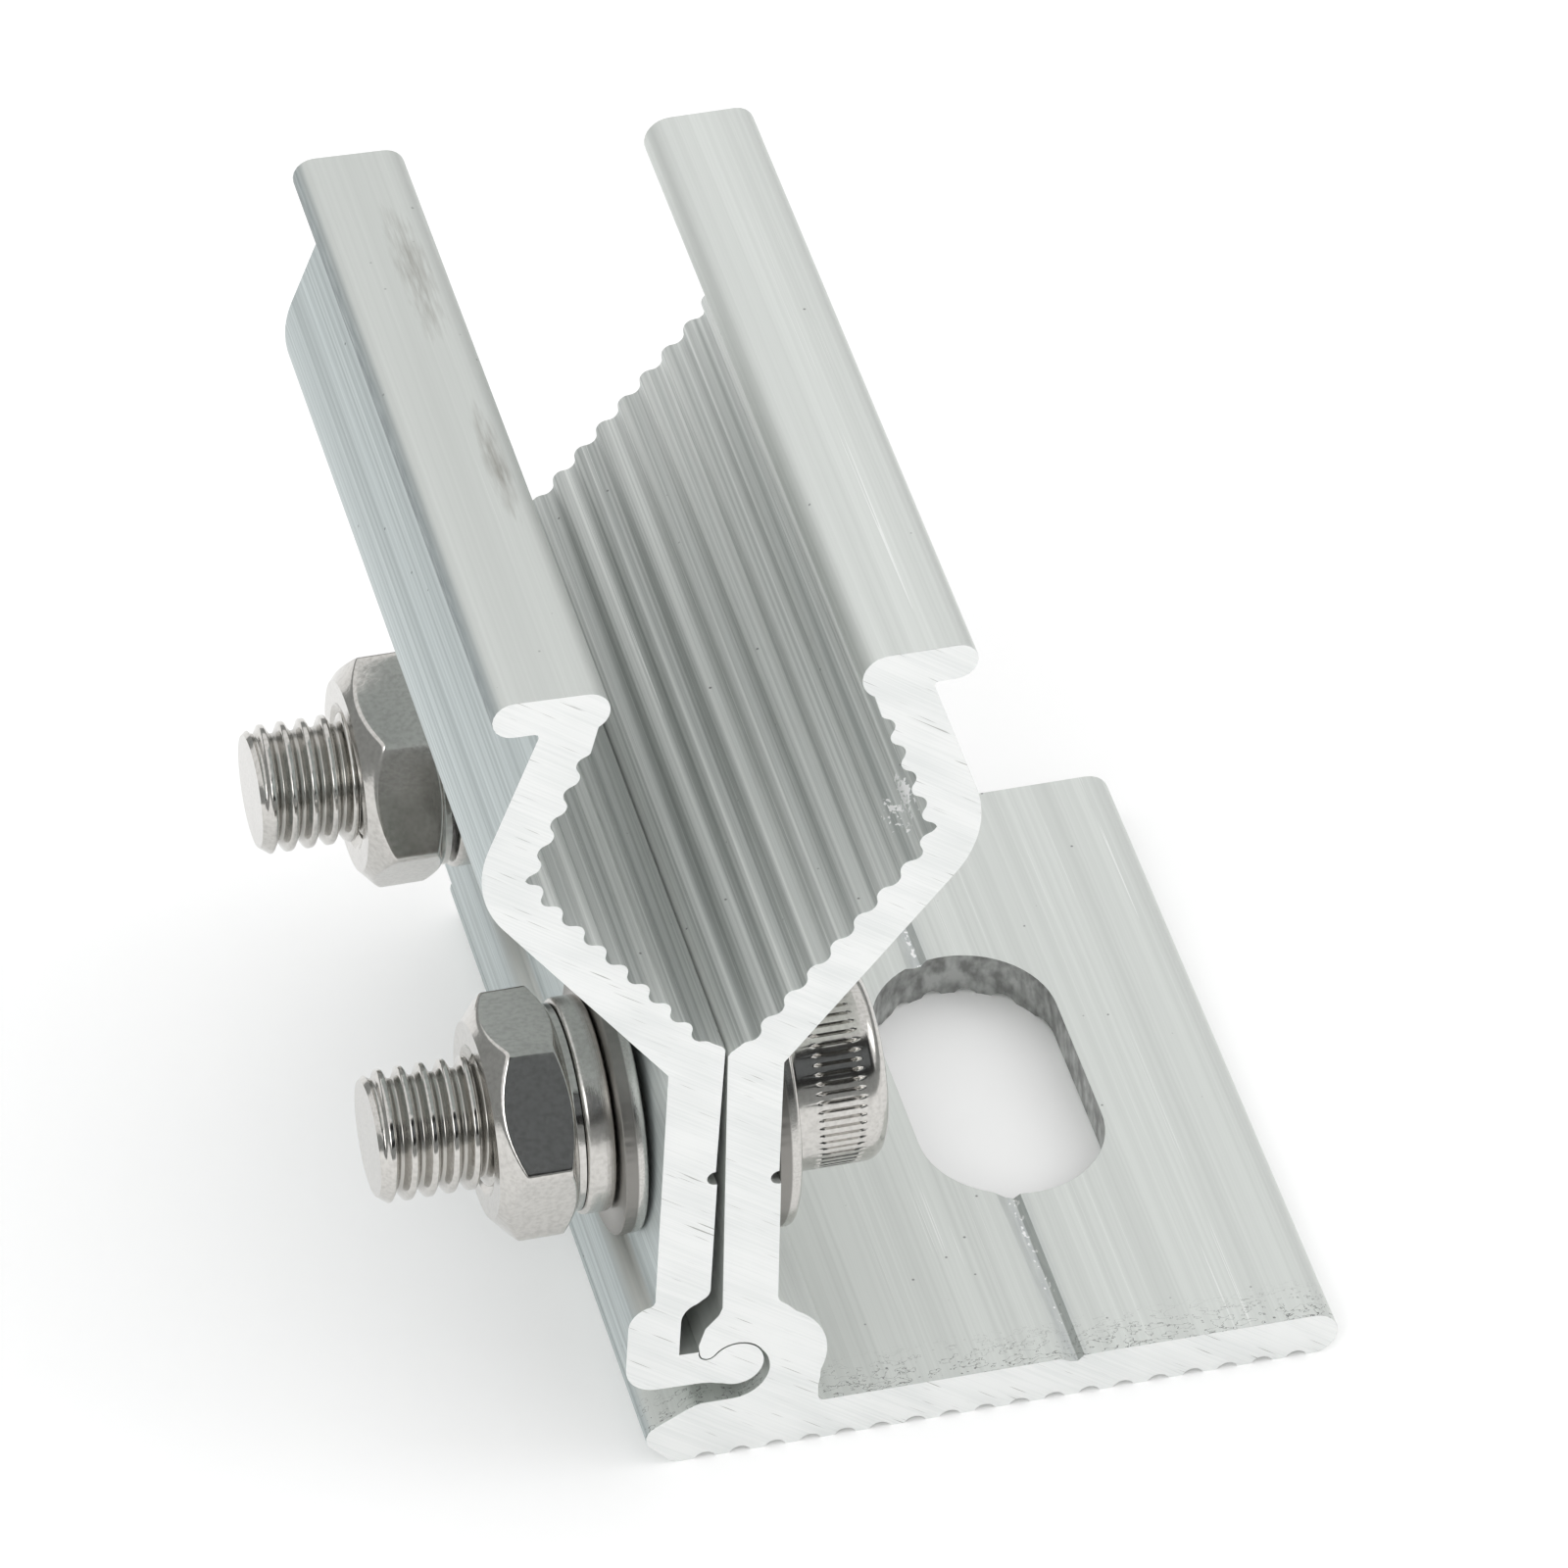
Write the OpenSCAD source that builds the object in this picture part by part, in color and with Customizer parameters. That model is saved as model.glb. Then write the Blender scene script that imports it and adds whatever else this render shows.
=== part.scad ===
/* Standing seam clamp: two extruded halves, a hook hinge and two cross screws.
   X runs across the profile, Y along the extrusion, Z up.
   The origin lies on the underside, below the inner face of the base jaw's web, at mid length. */

/* [Extrusions] */
// Length of both extrusions, saw cut to saw cut
clamp_l = 50; // [42:1:90]
// Thickness of each web
web_t = 3.35; // [2.8:0.05:4]
// Wall of the lower arm, measured from a groove root to the outside
lower_wall = 2.68; // [2:0.02:3.4]
// Wall of the upper arm, measured from a groove root to the outside
upper_wall = 2.9; // [2.2:0.02:3.6]
// Outer radius of the bend between the two arms
bend_r = 6.6; // [5:0.1:7.4]

/* [Jaw teeth] */
// Spacing of the gripping teeth
tooth_pitch = 2.16; // [1.9:0.02:2.3]
// Height of the gripping teeth
tooth_h = 0.55; // [0.3:0.05:0.7]
// Number of tooth grooves on each lower arm
lower_grooves = 8; // [6:1:9]
// Number of tooth grooves on each upper arm, above the corner
upper_grooves = 4; // [3:1:5]
// Slope of the lower arms above the horizontal, in degrees
lower_slope = 52; // [48:0.1:58]
// Lean of the upper arms from the vertical, in degrees
upper_lean = 18; // [12:0.1:22]
// Height of the lowest groove above the underside
cavity_z = 33.17; // [32:0.01:38]
// Distance of the lowest groove from the inner face of the web
cavity_x = 1.8; // [1.6:0.05:2.2]

/* [Top flanges] */
// Thickness of the top flanges
flange_t = 2.46; // [2:0.02:3]
// Reach of the base jaw's flange outward from its top groove
flange_reach = 4.75; // [4.4:0.05:7]
// Reach of the hook jaw's flange outward from its top groove
hook_flange_reach = 5.2; // [4.4:0.05:7]
// Radius of the base jaw's round inner lip
lip_r = 1.55; // [1.3:0.05:1.7]
// Radius of the hook jaw's round inner lip
hook_lip_r = 1.35; // [1.3:0.05:1.7]

/* [Base plate] */
// Reach of the base plate from the web's inner face to its round end
base_reach = 38.05; // [32:0.05:60]
// Thickness of the base plate
base_t = 3.1; // [2.6:0.1:4]
// Distance between the grip grooves on the underside
grip_pitch = 2.143; // [1.9:0.001:2.6]
// Width of a grip groove
grip_w = 1.3; // [0.8:0.05:1.5]
// Depth of a grip groove
grip_d = 0.4; // [0.2:0.05:0.6]
// Width of the slot through the base plate
slot_w = 11.5; // [6:0.1:13]
// Length of the slot, end to end
slot_l = 21.6; // [14:0.1:34]
// Distance of the slot's centre from the web's inner face
slot_x = 23.25; // [21:0.05:28]
// Distance of the scribe groove from the web's inner face
scribe_x = 21.7; // [18:0.1:30]

/* [Hook hinge] */
// Radius of the bulb on the hook
bulb_r = 1.62; // [1.4:0.02:1.7]
// Clearance between the bulb and the socket's ceiling
socket_clear = 0.1; // [0.06:0.01:0.14]
// Radius of the nose that traps the bulb
nose_r = 0.48; // [0.4:0.02:0.52]
// Clearance between the nose and its groove in the hook
nose_clear = 0.08; // [0.05:0.01:0.1]
// Gap between the webs when they are parallel
web_gap = 0.95; // [0.84:0.01:1.05]
// Lean of the hook jaw towards the base jaw as clamped, in degrees
hook_tilt = 1.8; // [1.6:0.05:1.9]

/* [Screws] */
// Distance between the two screws
screw_pitch = 31.3; // [26:0.1:36]
// Height of the screws above the underside
screw_z = 21.2; // [21.2:0.1:21.7]
// Crest diameter of the thread
screw_d = 7.84; // [5.8:0.02:7.84]
// Distance between thread turns
thread_pitch = 1.25; // [1:0.05:1.5]
// Length of a screw under its head
screw_l = 23.8; // [22:0.1:35]
// Diameter of the knurled head
head_d = 12; // [11:0.1:13.4]
// Height of the head
head_h = 6.16; // [5:0.02:8]
// Number of knurl grooves round the head
knurl_n = 66; // [40:2:72]
// Width across flats of the socket in the head
socket_af = 6; // [4:0.5:6]
// Diameter of the screw holes through the base jaw
base_hole_d = 9; // [8.4:0.1:9.4]
// Diameter of the screw holes through the hook jaw
hook_hole_d = 9.6; // [9.4:0.1:10.4]

/* [Washers and nuts] */
// Outer diameter of the washer under the head
head_washer_d = 18; // [15:0.1:18]
// Outer diameter of the flat washer under the nut
flat_washer_d = 15.8; // [14:0.1:15.8]
// Thickness of both kinds of flat washer
washer_t = 1.4; // [1:0.1:1.8]
// Outer diameter of the split spring washer
spring_d = 12.8; // [12:0.1:14.4]
// Thickness of the split spring washer
spring_t = 1.75; // [1.2:0.05:2.2]
// Axial opening of the front spring washer at its split
front_spring_open = 0.13; // [0.1:0.01:0.9]
// Axial opening of the rear spring washer at its split
rear_spring_open = 0.71; // [0.1:0.01:0.9]
// Direction of the front spring washer's split about its screw, in degrees
front_split_at = 342; // [0:1:359]
// Direction of the rear spring washer's split about its screw, in degrees
rear_split_at = 120; // [0:1:359]
// Width across flats of the nuts
nut_af = 12.8; // [12:0.1:13]
// Thickness of the nuts
nut_t = 5.1; // [3.6:0.1:6.8]
// Turn of the front nut about its screw, in degrees
front_nut_turn = 47.8; // [0:0.1:60]
// Turn of the rear nut about its screw, in degrees
rear_nut_turn = 66.6; // [0:0.1:120]

/* [Hidden] */

aluminium_grey = [0.82, 0.84, 0.83];
steel_grey = [0.72, 0.71, 0.69];

// Play between faces that lie on each other
seat = 0.02;
// Radial play of the nuts and washers on the thread crests
nut_play = 0.06;
washer_play = 0.3;
// How far a cut runs on past a face
past = 1;

// Points on an arc from angle a0 to angle a1 about c
function arc(c, r, a0, a1, n) =
    [for (i = [0:n]) let (a = a0 + (a1 - a0) * i / n) c + r * [cos(a), sin(a)]];
// Turn a point about a centre, anticlockwise
function turn(p, c, a) = let (v = p - c) c + [v.x * cos(a) - v.y * sin(a), v.x * sin(a) + v.y * cos(a)];
function heading(v) = atan2(v.y, v.x);
// Leave out a point that coincides with the next one
function distinct(p) = [for (i = [0:len(p) - 1]) if (norm(p[(i + 1) % len(p)] - p[i]) > 0.012) p[i]];
// Point where two lines meet, each given by its normal and its distance along that normal
function meet(n1, d1, n2, d2) =
    let (det = n1.x * n2.y - n1.y * n2.x)
    [(d1 * n2.y - d2 * n1.y) / det, (d2 * n1.x - d1 * n2.x) / det];
// One of the two points where two circles cross, on the left of the line from c1 to c2 for side = 1
function circles_meet(c1, r1, c2, r2, side) =
    let (v = c2 - c1,
         d = norm(v),
         along = (d * d + r1 * r1 - r2 * r2) / (2 * d),
         across = side * sqrt(r1 * r1 - along * along))
    c1 + along * v / d + across * [-v.y, v.x] / d;

// A tooth between two groove roots: two half grooves and a round tip, all arcs of one radius.
// from and to pick a part of it: 0 is the first root, 2 the middle of the tip, 4 the next root.
function tooth(p, q, from = 0, to = 4) =
    let (len = norm(q - p),
         d = (q - p) / len,
         n = [-d.y, d.x],
         half = 2 * atan(2 * tooth_h / len),
         r = len / (4 * sin(half)),
         steps = 3)
    [for (i = [from * steps:to * steps - 1])
        let (k = i / steps)
        k < 1 ? p + r * n + r * (d * sin(half * k) - n * cos(half * k))
      : k < 3 ? (p + q) / 2 + (tooth_h - r) * n + r * (d * sin(half * (k - 2)) + n * cos(half * (k - 2)))
      : q + r * n + r * (d * sin(half * (k - 4)) - n * cos(half * (k - 4)))];

// Unit vectors along the arms, going up, and their outward normals
lower_dir = [cos(lower_slope), sin(lower_slope)];
lower_out = [sin(lower_slope), -cos(lower_slope)];
upper_dir = [-sin(upper_lean), cos(upper_lean)];
upper_out = [cos(upper_lean), sin(upper_lean)];
arm_start_z = cavity_z - 1.2;

// Groove roots from the bottom of the cavity to the top.
// corner is the direction from the last groove of the lower arm to the groove in the corner.
function groove_roots(corner) =
    let (lower = [for (i = [0:lower_grooves - 1]) [cavity_x, cavity_z] + i * tooth_pitch * lower_dir],
         bend = lower[lower_grooves - 1] + tooth_pitch * [cos(corner), sin(corner)])
    concat(lower, [for (i = [0:upper_grooves]) bend + i * tooth_pitch * upper_dir]);

// One arm of the clamp from the top of the web's inner face round to the outer face of the web.
// corner is the direction of the corner groove, top_z and end_x the flange's top and outer end,
// lip the inner end and the radius of the lip.
function arm(x_in, x_out, corner, top_z, end_x, lip) =
    let (roots = groove_roots(corner),
         top_root = roots[len(roots) - 1],
         lower_d = lower_out * roots[0] + lower_wall,
         upper_d = upper_out * top_root + upper_wall,
         bend_c = meet(lower_out, lower_d - bend_r, upper_out, upper_d - bend_r),
         flange_low = top_z - flange_t,
         flange_end = [end_x - flange_t / 2, top_z - flange_t / 2],
         lip_c = [lip[0] + lip[1], top_z - lip[1]],
         inner_x = (upper_d - upper_out.y * flange_low) / upper_out.x,
         web_z = (lower_out.x * x_out - lower_d) / -lower_out.y,
         fillet = 0.3)
    concat(
        [[x_in, arm_start_z], [x_in + 0.2, arm_start_z + 0.3]],
        tooth(roots[0] - tooth_pitch * lower_dir, roots[0], 2, 4),
        [for (i = [0:len(roots) - 2]) each tooth(roots[i], roots[i + 1])],
        tooth(top_root, top_root + tooth_pitch * upper_dir, 0, 2),
        arc(lip_c, lip[1], 238, 90, 12),
        arc(flange_end, flange_t / 2, 90, -90, 10),
        [[inner_x + fillet, flange_low], [inner_x + 0.1, flange_low - 0.08],
         [inner_x + fillet * upper_lean / 100, flange_low - fillet]],
        arc(bend_c, bend_r, upper_lean, lower_slope - 90, 20),
        [[x_out, web_z]]);

// Hook hinge: the bulb turns about hinge_c
hinge_c = [0.95, 7.25];
socket_c = [0.75, 6.68];
socket_r = 2.2;
ceiling_r = bulb_r + socket_clear;
nose_angle = 144.3;
nose_c = hinge_c + (ceiling_r + nose_r) * [cos(nose_angle), sin(nose_angle)];
ceiling_start = circles_meet(socket_c, socket_r, hinge_c, ceiling_r, -1);
socket_floor = socket_c.y - socket_r;

// Heel of the base jaw, between the web and the base plate
heel_c = [2.35, 7.3];
heel_r = 4.08;
toe_c = [-3.5, 2.2];
grip_r = (grip_w * grip_w / 4 + grip_d * grip_d) / (2 * grip_d);
grip_first = -0.9;
grip_count = floor((base_reach - 2.1 - grip_first) / grip_pitch) + 1;
grip_half = asin(grip_w / 2 / grip_r);

// Underside of the base plate from its right end to its left end, with the grip grooves
function underside() =
    [for (i = [grip_count - 1:-1:0])
        each arc([grip_first + i * grip_pitch, grip_d - grip_r], grip_r, 90 - grip_half, 90 + grip_half, 6)];

// Scribe grooves in the webs: a round bottom, sunk a little below the face
scribe_r = 0.5;
scribe_in = 0.12;
base_scribe_z = screw_z + 0.6;
hook_scribe_z = screw_z + 1.3;

// Base jaw's flange, from its top groove
base_top = groove_roots(68)[lower_grooves + upper_grooves];
flange_z = base_top.y + 5.1;
flange_x = base_top.x + flange_reach;
lip_x = base_top.x - 1.95;

function base_profile() = concat(
    arm(0, web_t, 68, flange_z, flange_x, [lip_x, lip_r]),
    arc([web_t - scribe_in, base_scribe_z], scribe_r, 90, 270, 8),
    [[web_t, base_scribe_z - scribe_r]],
    [[web_t, 12.15], [web_t + 0.14, 11.8], [web_t + 0.6, 11.4]],
    arc(heel_c, heel_r, 58, -24, 12),
    [[6.05, 5], [5.95, 4.4], [5.95, base_t + 0.35], [6.05, base_t + 0.1], [6.3, base_t]],
    [[scribe_x - 0.9, base_t], [scribe_x - 0.25, base_t - 0.32],
     [scribe_x + 0.22, base_t - 0.38], [scribe_x + 0.6, base_t]],
    arc([base_reach - base_t / 2, base_t / 2], base_t / 2, 90, -90, 12),
    underside(),
    arc([-2.3, 1.3], 1.3, 270, 232, 4),
    arc(toe_c, 1, 215, 115, 6),
    [[-2.6, 3.85], [-1.9, 4.25], [-1.3, socket_floor]],
    arc(socket_c, socket_r, -90, heading(ceiling_start - socket_c), 14),
    arc(hinge_c, ceiling_r, heading(ceiling_start - hinge_c), nose_angle, 10),
    arc(nose_c, nose_r, nose_angle + 180, 185, 8),
    [[-1.4, 9.2], [-1.2, 9.9], [-1.02, 10.5], [-0.55, 11.05], [-0.2, 11.45], [0, 12]]);

// Hook jaw, drawn upright; hook_tilt then leans it about the bulb
arm_axis = -0.54;
arm_rise = 0.5;
hook_in = -web_gap;
hook_out = -web_gap - web_t + 0.05;
foot_x = -5.8;
foot_z = 6.1;
pocket_x = -2.62;
tongue_z = 8.65;
groove_c = turn(nose_c, hinge_c, hook_tilt);
groove_r = nose_r + nose_clear;
groove_angle = nose_angle + hook_tilt;
groove_edge = 180 - asin((tongue_z - groove_c.y) / groove_r);

function across(p) = [2 * arm_axis - p.x, p.y + arm_rise];
function hook_arm() = [for (p = arm(2 * arm_axis - hook_in, 2 * arm_axis - hook_out, 61,
                                    flange_z - 0.19, base_top.x + hook_flange_reach,
                                    [base_top.x - 1.54, hook_lip_r])) across(p)];

function hook_profile() = concat(
    hook_arm(),
    [[hook_out, 13.2], [hook_out - 0.1, 12.98], [hook_out - 0.35, 12.82]],
    arc([foot_x + 1.6, 11.3], 1.6, 108, 180, 6),
    arc([foot_x + 1.9, foot_z + 1.9], 1.9, 180, 270, 8),
    [[-1.2, foot_z], [-0.6, foot_z - 0.06], [-0.25, foot_z - 0.18]],
    arc(hinge_c, bulb_r, 242, 360 + groove_angle, 30),
    arc(groove_c, groove_r, groove_angle + 180, groove_edge, 10),
    [[pocket_x, tongue_z]],
    arc([pocket_x + 1.4, 11.3], 1.4, 180, 110, 6),
    arc([hook_in - 0.8, 13.6], 0.8, -60, 0, 5),
    [[hook_in, hook_scribe_z - scribe_r]],
    arc([hook_in - scribe_in, hook_scribe_z], scribe_r, 270, 90, 8));

module extrusion(profile) {
    rotate([90, 0, 0])
        linear_extrude(height = clamp_l, center = true)
            polygon(distinct(profile));
}

// Put a piece drawn along Z on a screw axis: Z becomes X, screw_side is -1 at the front and 1 at the rear
module on_axis(screw_side, x) {
    translate([x, screw_side * screw_pitch / 2, screw_z])
        rotate([0, 90, 0])
            children();
}

module screw_holes(d) {
    for (screw_side = [-1, 1])
        on_axis(screw_side, -8)
            cylinder(d = d, h = 16, $fn = 64);
}

module slot() {
    straight = slot_l - slot_w;
    tall = base_t + 2 * past;
    translate([slot_x, 0, -past]) {
        for (y = [-1, 1])
            translate([0, y * straight / 2, 0])
                cylinder(d = slot_w, h = tall, $fn = 72);
        translate([-slot_w / 2, -straight / 2, 0])
            cube([slot_w, straight, tall]);
    }
}

module base_jaw() {
    color(aluminium_grey)
        difference() {
            extrusion(base_profile());
            slot();
            screw_holes(base_hole_d);
        }
}

// The hook jaw is drawn and drilled upright, then leaned clockwise about the bulb
module hook_jaw() {
    color(aluminium_grey)
        translate([hinge_c.x, 0, hinge_c.y])
            rotate([0, hook_tilt, 0])
                translate([-hinge_c.x, 0, -hinge_c.y])
                    difference() {
                        extrusion(hook_profile());
                        screw_holes(hook_hole_d);
                    }
}

// Stations along a screw, from the base jaw's outer face outward to both sides
head_x = web_t + seat + washer_t + seat;
// The flat washer touches the leaning web at the washer's lowest point
low_rise = screw_z - flat_washer_d / 2 - hinge_c.y;
hook_face_x = hinge_c.x + (hook_out - hinge_c.x) / cos(hook_tilt) + low_rise * tan(hook_tilt);
flat_x = hook_face_x - 0.04;
spring_x = flat_x - washer_t - seat;
function nut_x(open) = spring_x - spring_t - open - seat;

thread_depth = 0.54 * thread_pitch;
turns = floor((screw_l - 1) / thread_pitch);
// Half outline of the threaded shank from the head down: r against distance under the head
function thread_outline() = concat(
    [[0, 0], [screw_d / 2, 0]],
    [for (i = [0:turns - 1]) let (z = 0.6 + i * thread_pitch)
        each [[screw_d / 2, z + 0.15 * thread_pitch],
              [screw_d / 2 - thread_depth, z + 0.5 * thread_pitch],
              [screw_d / 2 - thread_depth, z + 0.6 * thread_pitch],
              [screw_d / 2, z + 0.95 * thread_pitch]]],
    [[screw_d / 2 - thread_depth, screw_l], [0, screw_l]]);

knurl_from = 1.9;
knurl_to = head_h - 1.25;
knurl_depth = 0.25;
head_round = 1.1;
// The head's outline, with a small bevel at the seat and a round rim
head_outline = concat(
    [[0, 0], [head_d / 2 - 0.3, 0], [head_d / 2, 0.3]],
    arc([head_d / 2 - head_round, head_h - head_round], head_round, 0, 90, 8),
    [[0, head_h]]);

module knurl_ring() {
    difference() {
        circle(r = head_d / 2 + 1, $fn = 48);
        polygon([for (i = [0:2 * knurl_n - 1])
            let (a = 180 * i / knurl_n)
            (head_d / 2 + 0.02 - (i % 2) * knurl_depth) * [cos(a), sin(a)]]);
    }
}

module screw() {
    mirror([0, 0, 1])
        rotate_extrude($fn = 64)
            polygon(thread_outline());
    difference() {
        rotate_extrude($fn = 96)
            polygon(head_outline);
        translate([0, 0, knurl_from])
            linear_extrude(height = knurl_to - knurl_from)
                knurl_ring();
        translate([0, 0, head_h - 3.4])
            rotate([0, 0, 30])
                cylinder(d = socket_af / cos(30), h = 4, $fn = 6);
        translate([0, 0, head_h - 0.4])
            cylinder(d1 = socket_af, d2 = socket_af + 1.4, h = 0.7, $fn = 48);
    }
}

module flat_washer(od) {
    rim = 0.25;
    difference() {
        rotate_extrude($fn = 96)
            polygon([[0, 0], [od / 2, 0], [od / 2, washer_t - rim],
                     [od / 2 - rim, washer_t], [0, washer_t]]);
        translate([0, 0, -1])
            cylinder(d = screw_d + 2 * washer_play, h = washer_t + 2, $fn = 64);
    }
}

// Split ring: a square section led once round the screw while it rises by the opening
module spring_washer(open, split_at) {
    r_in = screw_d / 2 + washer_play;
    r_out = spring_d / 2;
    split = 14;
    steps = 40;
    ring = [[r_in, 0], [r_out, 0.12], [r_out, spring_t - 0.12], [r_in, spring_t]];
    points = [for (i = [0:steps]) let (a = split_at + split / 2 + (360 - split) * i / steps)
        for (p = ring) [p.x * cos(a), p.x * sin(a), p.y + open * i / steps]];
    side = [for (i = [0:steps - 1]) for (j = [0:3])
        [4 * i + j, 4 * i + (j + 1) % 4, 4 * i + 4 + (j + 1) % 4, 4 * i + 4 + j]];
    last = [[for (j = [0:3]) 4 * steps + j]];
    polyhedron(points = points, faces = concat([[3, 2, 1, 0]], side, last), convexity = 4);
}

// Hexagon nut: the prism met by a ring that carries the bore, the washer face and the chamfers.
// The washer face is a low round step on the seat side; the far side has the long chamfer.
module nut(angle) {
    r_corner = nut_af / 2 / cos(30);
    r_out = r_corner + 0.3;
    seat_r = nut_af / 2 - 0.25;
    seat_rise = 0.4;
    seat_chamfer = seat_rise + (r_out - seat_r) * tan(30);
    far_r = nut_af / 2 - 0.55;
    far_chamfer = (r_out - far_r) * tan(42);
    bore_r = screw_d / 2 + nut_play;
    intersection() {
        rotate([0, 0, 90 + angle])
            translate([0, 0, -1])
                cylinder(r = r_corner, h = nut_t + 2, $fn = 6);
        rotate_extrude($fn = 96)
            polygon([[bore_r + 0.35, 0], [seat_r, 0], [seat_r, seat_rise],
                     [r_out, seat_chamfer], [r_out, nut_t - far_chamfer], [far_r, nut_t],
                     [bore_r + 0.35, nut_t], [bore_r, nut_t - 0.35], [bore_r, 0.35]]);
    }
}

module front_screw() { color(steel_grey) on_axis(-1, head_x) screw(); }
module rear_screw() { color(steel_grey) on_axis(1, head_x) rotate([0, 0, 17]) screw(); }
module front_head_washer() { color(steel_grey) on_axis(-1, web_t + seat) flat_washer(head_washer_d); }
module rear_head_washer() { color(steel_grey) on_axis(1, web_t + seat) flat_washer(head_washer_d); }
module front_flat_washer() {
    color(steel_grey)
        on_axis(-1, flat_x) mirror([0, 0, 1]) flat_washer(flat_washer_d);
}
module rear_flat_washer() {
    color(steel_grey)
        on_axis(1, flat_x) mirror([0, 0, 1]) flat_washer(flat_washer_d);
}
module front_spring_washer() {
    color(steel_grey)
        on_axis(-1, spring_x) mirror([0, 0, 1]) spring_washer(front_spring_open, front_split_at);
}
module rear_spring_washer() {
    color(steel_grey)
        on_axis(1, spring_x) mirror([0, 0, 1]) spring_washer(rear_spring_open, rear_split_at);
}
module front_nut() {
    color(steel_grey)
        on_axis(-1, nut_x(front_spring_open)) mirror([0, 0, 1]) nut(front_nut_turn);
}
module rear_nut() {
    color(steel_grey)
        on_axis(1, nut_x(rear_spring_open)) mirror([0, 0, 1]) nut(rear_nut_turn);
}

base_jaw();
hook_jaw();
front_screw();
rear_screw();
front_head_washer();
rear_head_washer();
front_flat_washer();
rear_flat_washer();
front_spring_washer();
rear_spring_washer();
front_nut();
rear_nut();
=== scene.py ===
# %% [markdown]
# # A seam clamp for solar rails
# Two pieces of extruded aluminium hook into each other at the bottom and are drawn together by two
# screws. The solid model is already exact, so this lesson gives it its finishes: mill aluminium with
# die lines and saw-cut ends, and bright steel with real threads and knurling.

import bpy
import bmesh
import numpy as np
from mathutils import Matrix, Vector


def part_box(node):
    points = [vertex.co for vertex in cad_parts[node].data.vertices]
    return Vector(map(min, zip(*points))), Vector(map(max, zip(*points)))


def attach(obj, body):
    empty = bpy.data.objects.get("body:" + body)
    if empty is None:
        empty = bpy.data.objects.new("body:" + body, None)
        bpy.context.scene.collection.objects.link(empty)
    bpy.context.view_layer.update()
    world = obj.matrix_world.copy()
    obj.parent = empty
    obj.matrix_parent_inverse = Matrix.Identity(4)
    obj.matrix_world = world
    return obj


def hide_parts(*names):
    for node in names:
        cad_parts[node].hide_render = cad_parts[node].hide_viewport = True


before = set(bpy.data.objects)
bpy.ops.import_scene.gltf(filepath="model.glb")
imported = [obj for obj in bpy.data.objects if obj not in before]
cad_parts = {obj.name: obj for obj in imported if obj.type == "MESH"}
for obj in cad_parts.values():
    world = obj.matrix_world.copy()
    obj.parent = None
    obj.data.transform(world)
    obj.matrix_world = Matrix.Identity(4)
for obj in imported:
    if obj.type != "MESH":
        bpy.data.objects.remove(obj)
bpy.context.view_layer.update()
MM = 0.001

# %% [markdown]
# Every fastener is a surface made round a screw's axis, which runs along X. So one function turns a
# grid of numbers into a closed mesh, and all the pieces below only have to work out their own grid.

# %% Grids of points become meshes
TAU = 2 * np.pi
# Points nearer than this are one point, in millimetres
MERGE = 0.001


def grid_mesh(name, points, close_rows, close_columns):
    """A mesh from a grid of points in millimetres, rows by columns. Each cell of the grid is one
    face: corner (i, j), then its neighbours one row and one column on. A closed direction joins its
    last line to its first. Points that fall on one spot, as at a pole, are merged afterwards."""
    rows, columns = points.shape[:2]
    i = np.arange(rows if close_rows else rows - 1)[:, None]
    j = np.arange(columns if close_columns else columns - 1)[None, :]
    i2, j2 = (i + 1) % rows, (j + 1) % columns
    corners = [i * columns + j, i * columns + j2, i2 * columns + j2, i2 * columns + j]
    faces = np.stack(np.broadcast_arrays(*corners), axis=-1).reshape(-1, 4)
    mesh = bpy.data.meshes.new(name)
    mesh.from_pydata((points.reshape(-1, 3) * MM).tolist(), [], faces.tolist())
    piece = bpy.data.objects.new(name, mesh)
    bpy.context.scene.collection.objects.link(piece)
    return piece


def finish_mesh(piece, crease):
    """Merges doubled points, turns the faces outwards, and shades them smooth. Edges that bend by
    more than crease, in degrees, stay sharp."""
    work = bmesh.new()
    work.from_mesh(piece.data)
    bmesh.ops.remove_doubles(work, verts=work.verts, dist=MERGE * MM)
    bmesh.ops.dissolve_degenerate(work, edges=work.edges, dist=MERGE / 2 * MM)
    bmesh.ops.recalc_face_normals(work, faces=work.faces)
    for face in work.faces:
        face.smooth = True
    for edge in work.edges:
        edge.smooth = edge.calc_face_angle(0) < np.radians(crease)
    work.to_mesh(piece.data)
    work.free()
    print(piece.name, len(piece.data.polygons), "faces")
    return piece


def about_screw(axis, x, r, angle):
    """Points round a screw's axis: x along it, radius r, and the angle from +Y towards +Z."""
    x, r, angle = np.broadcast_arrays(x, r, angle)
    return np.stack([x, axis[0] + r * np.cos(angle), axis[1] + r * np.sin(angle)], axis=-1)


def span(node):
    """The extent of a CAD node along X, and the place of its axis in Y and Z, in millimetres."""
    low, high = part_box(node)
    middle = (low + high) / 2 / MM
    return low.x / MM, high.x / MM, (middle.y, middle.z), (high.z - low.z) / MM / 2


# %% [markdown]
# An M8 thread is a groove led round the shank in a helix, 1.25 mm from turn to turn. Its depth at a
# point depends on one number only: how far the point has come along the axis, plus its share of a
# turn. Its crests and roots are rounded, as on a rolled thread.

# %% Screw shanks with a helical thread
PITCH = 1.25
THREAD_DEPTH = 0.64
CREST_R = 3.92
# The groove's flanks, in shares of half a turn from its middle: where they end, and how wide they are
FLANK_END, FLANK_WIDE = 0.84, 0.72
# The flat at the tip, and how fast the chamfer widens behind it
TIP_R, TIP_SLOPE = 3.45, 0.75


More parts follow.
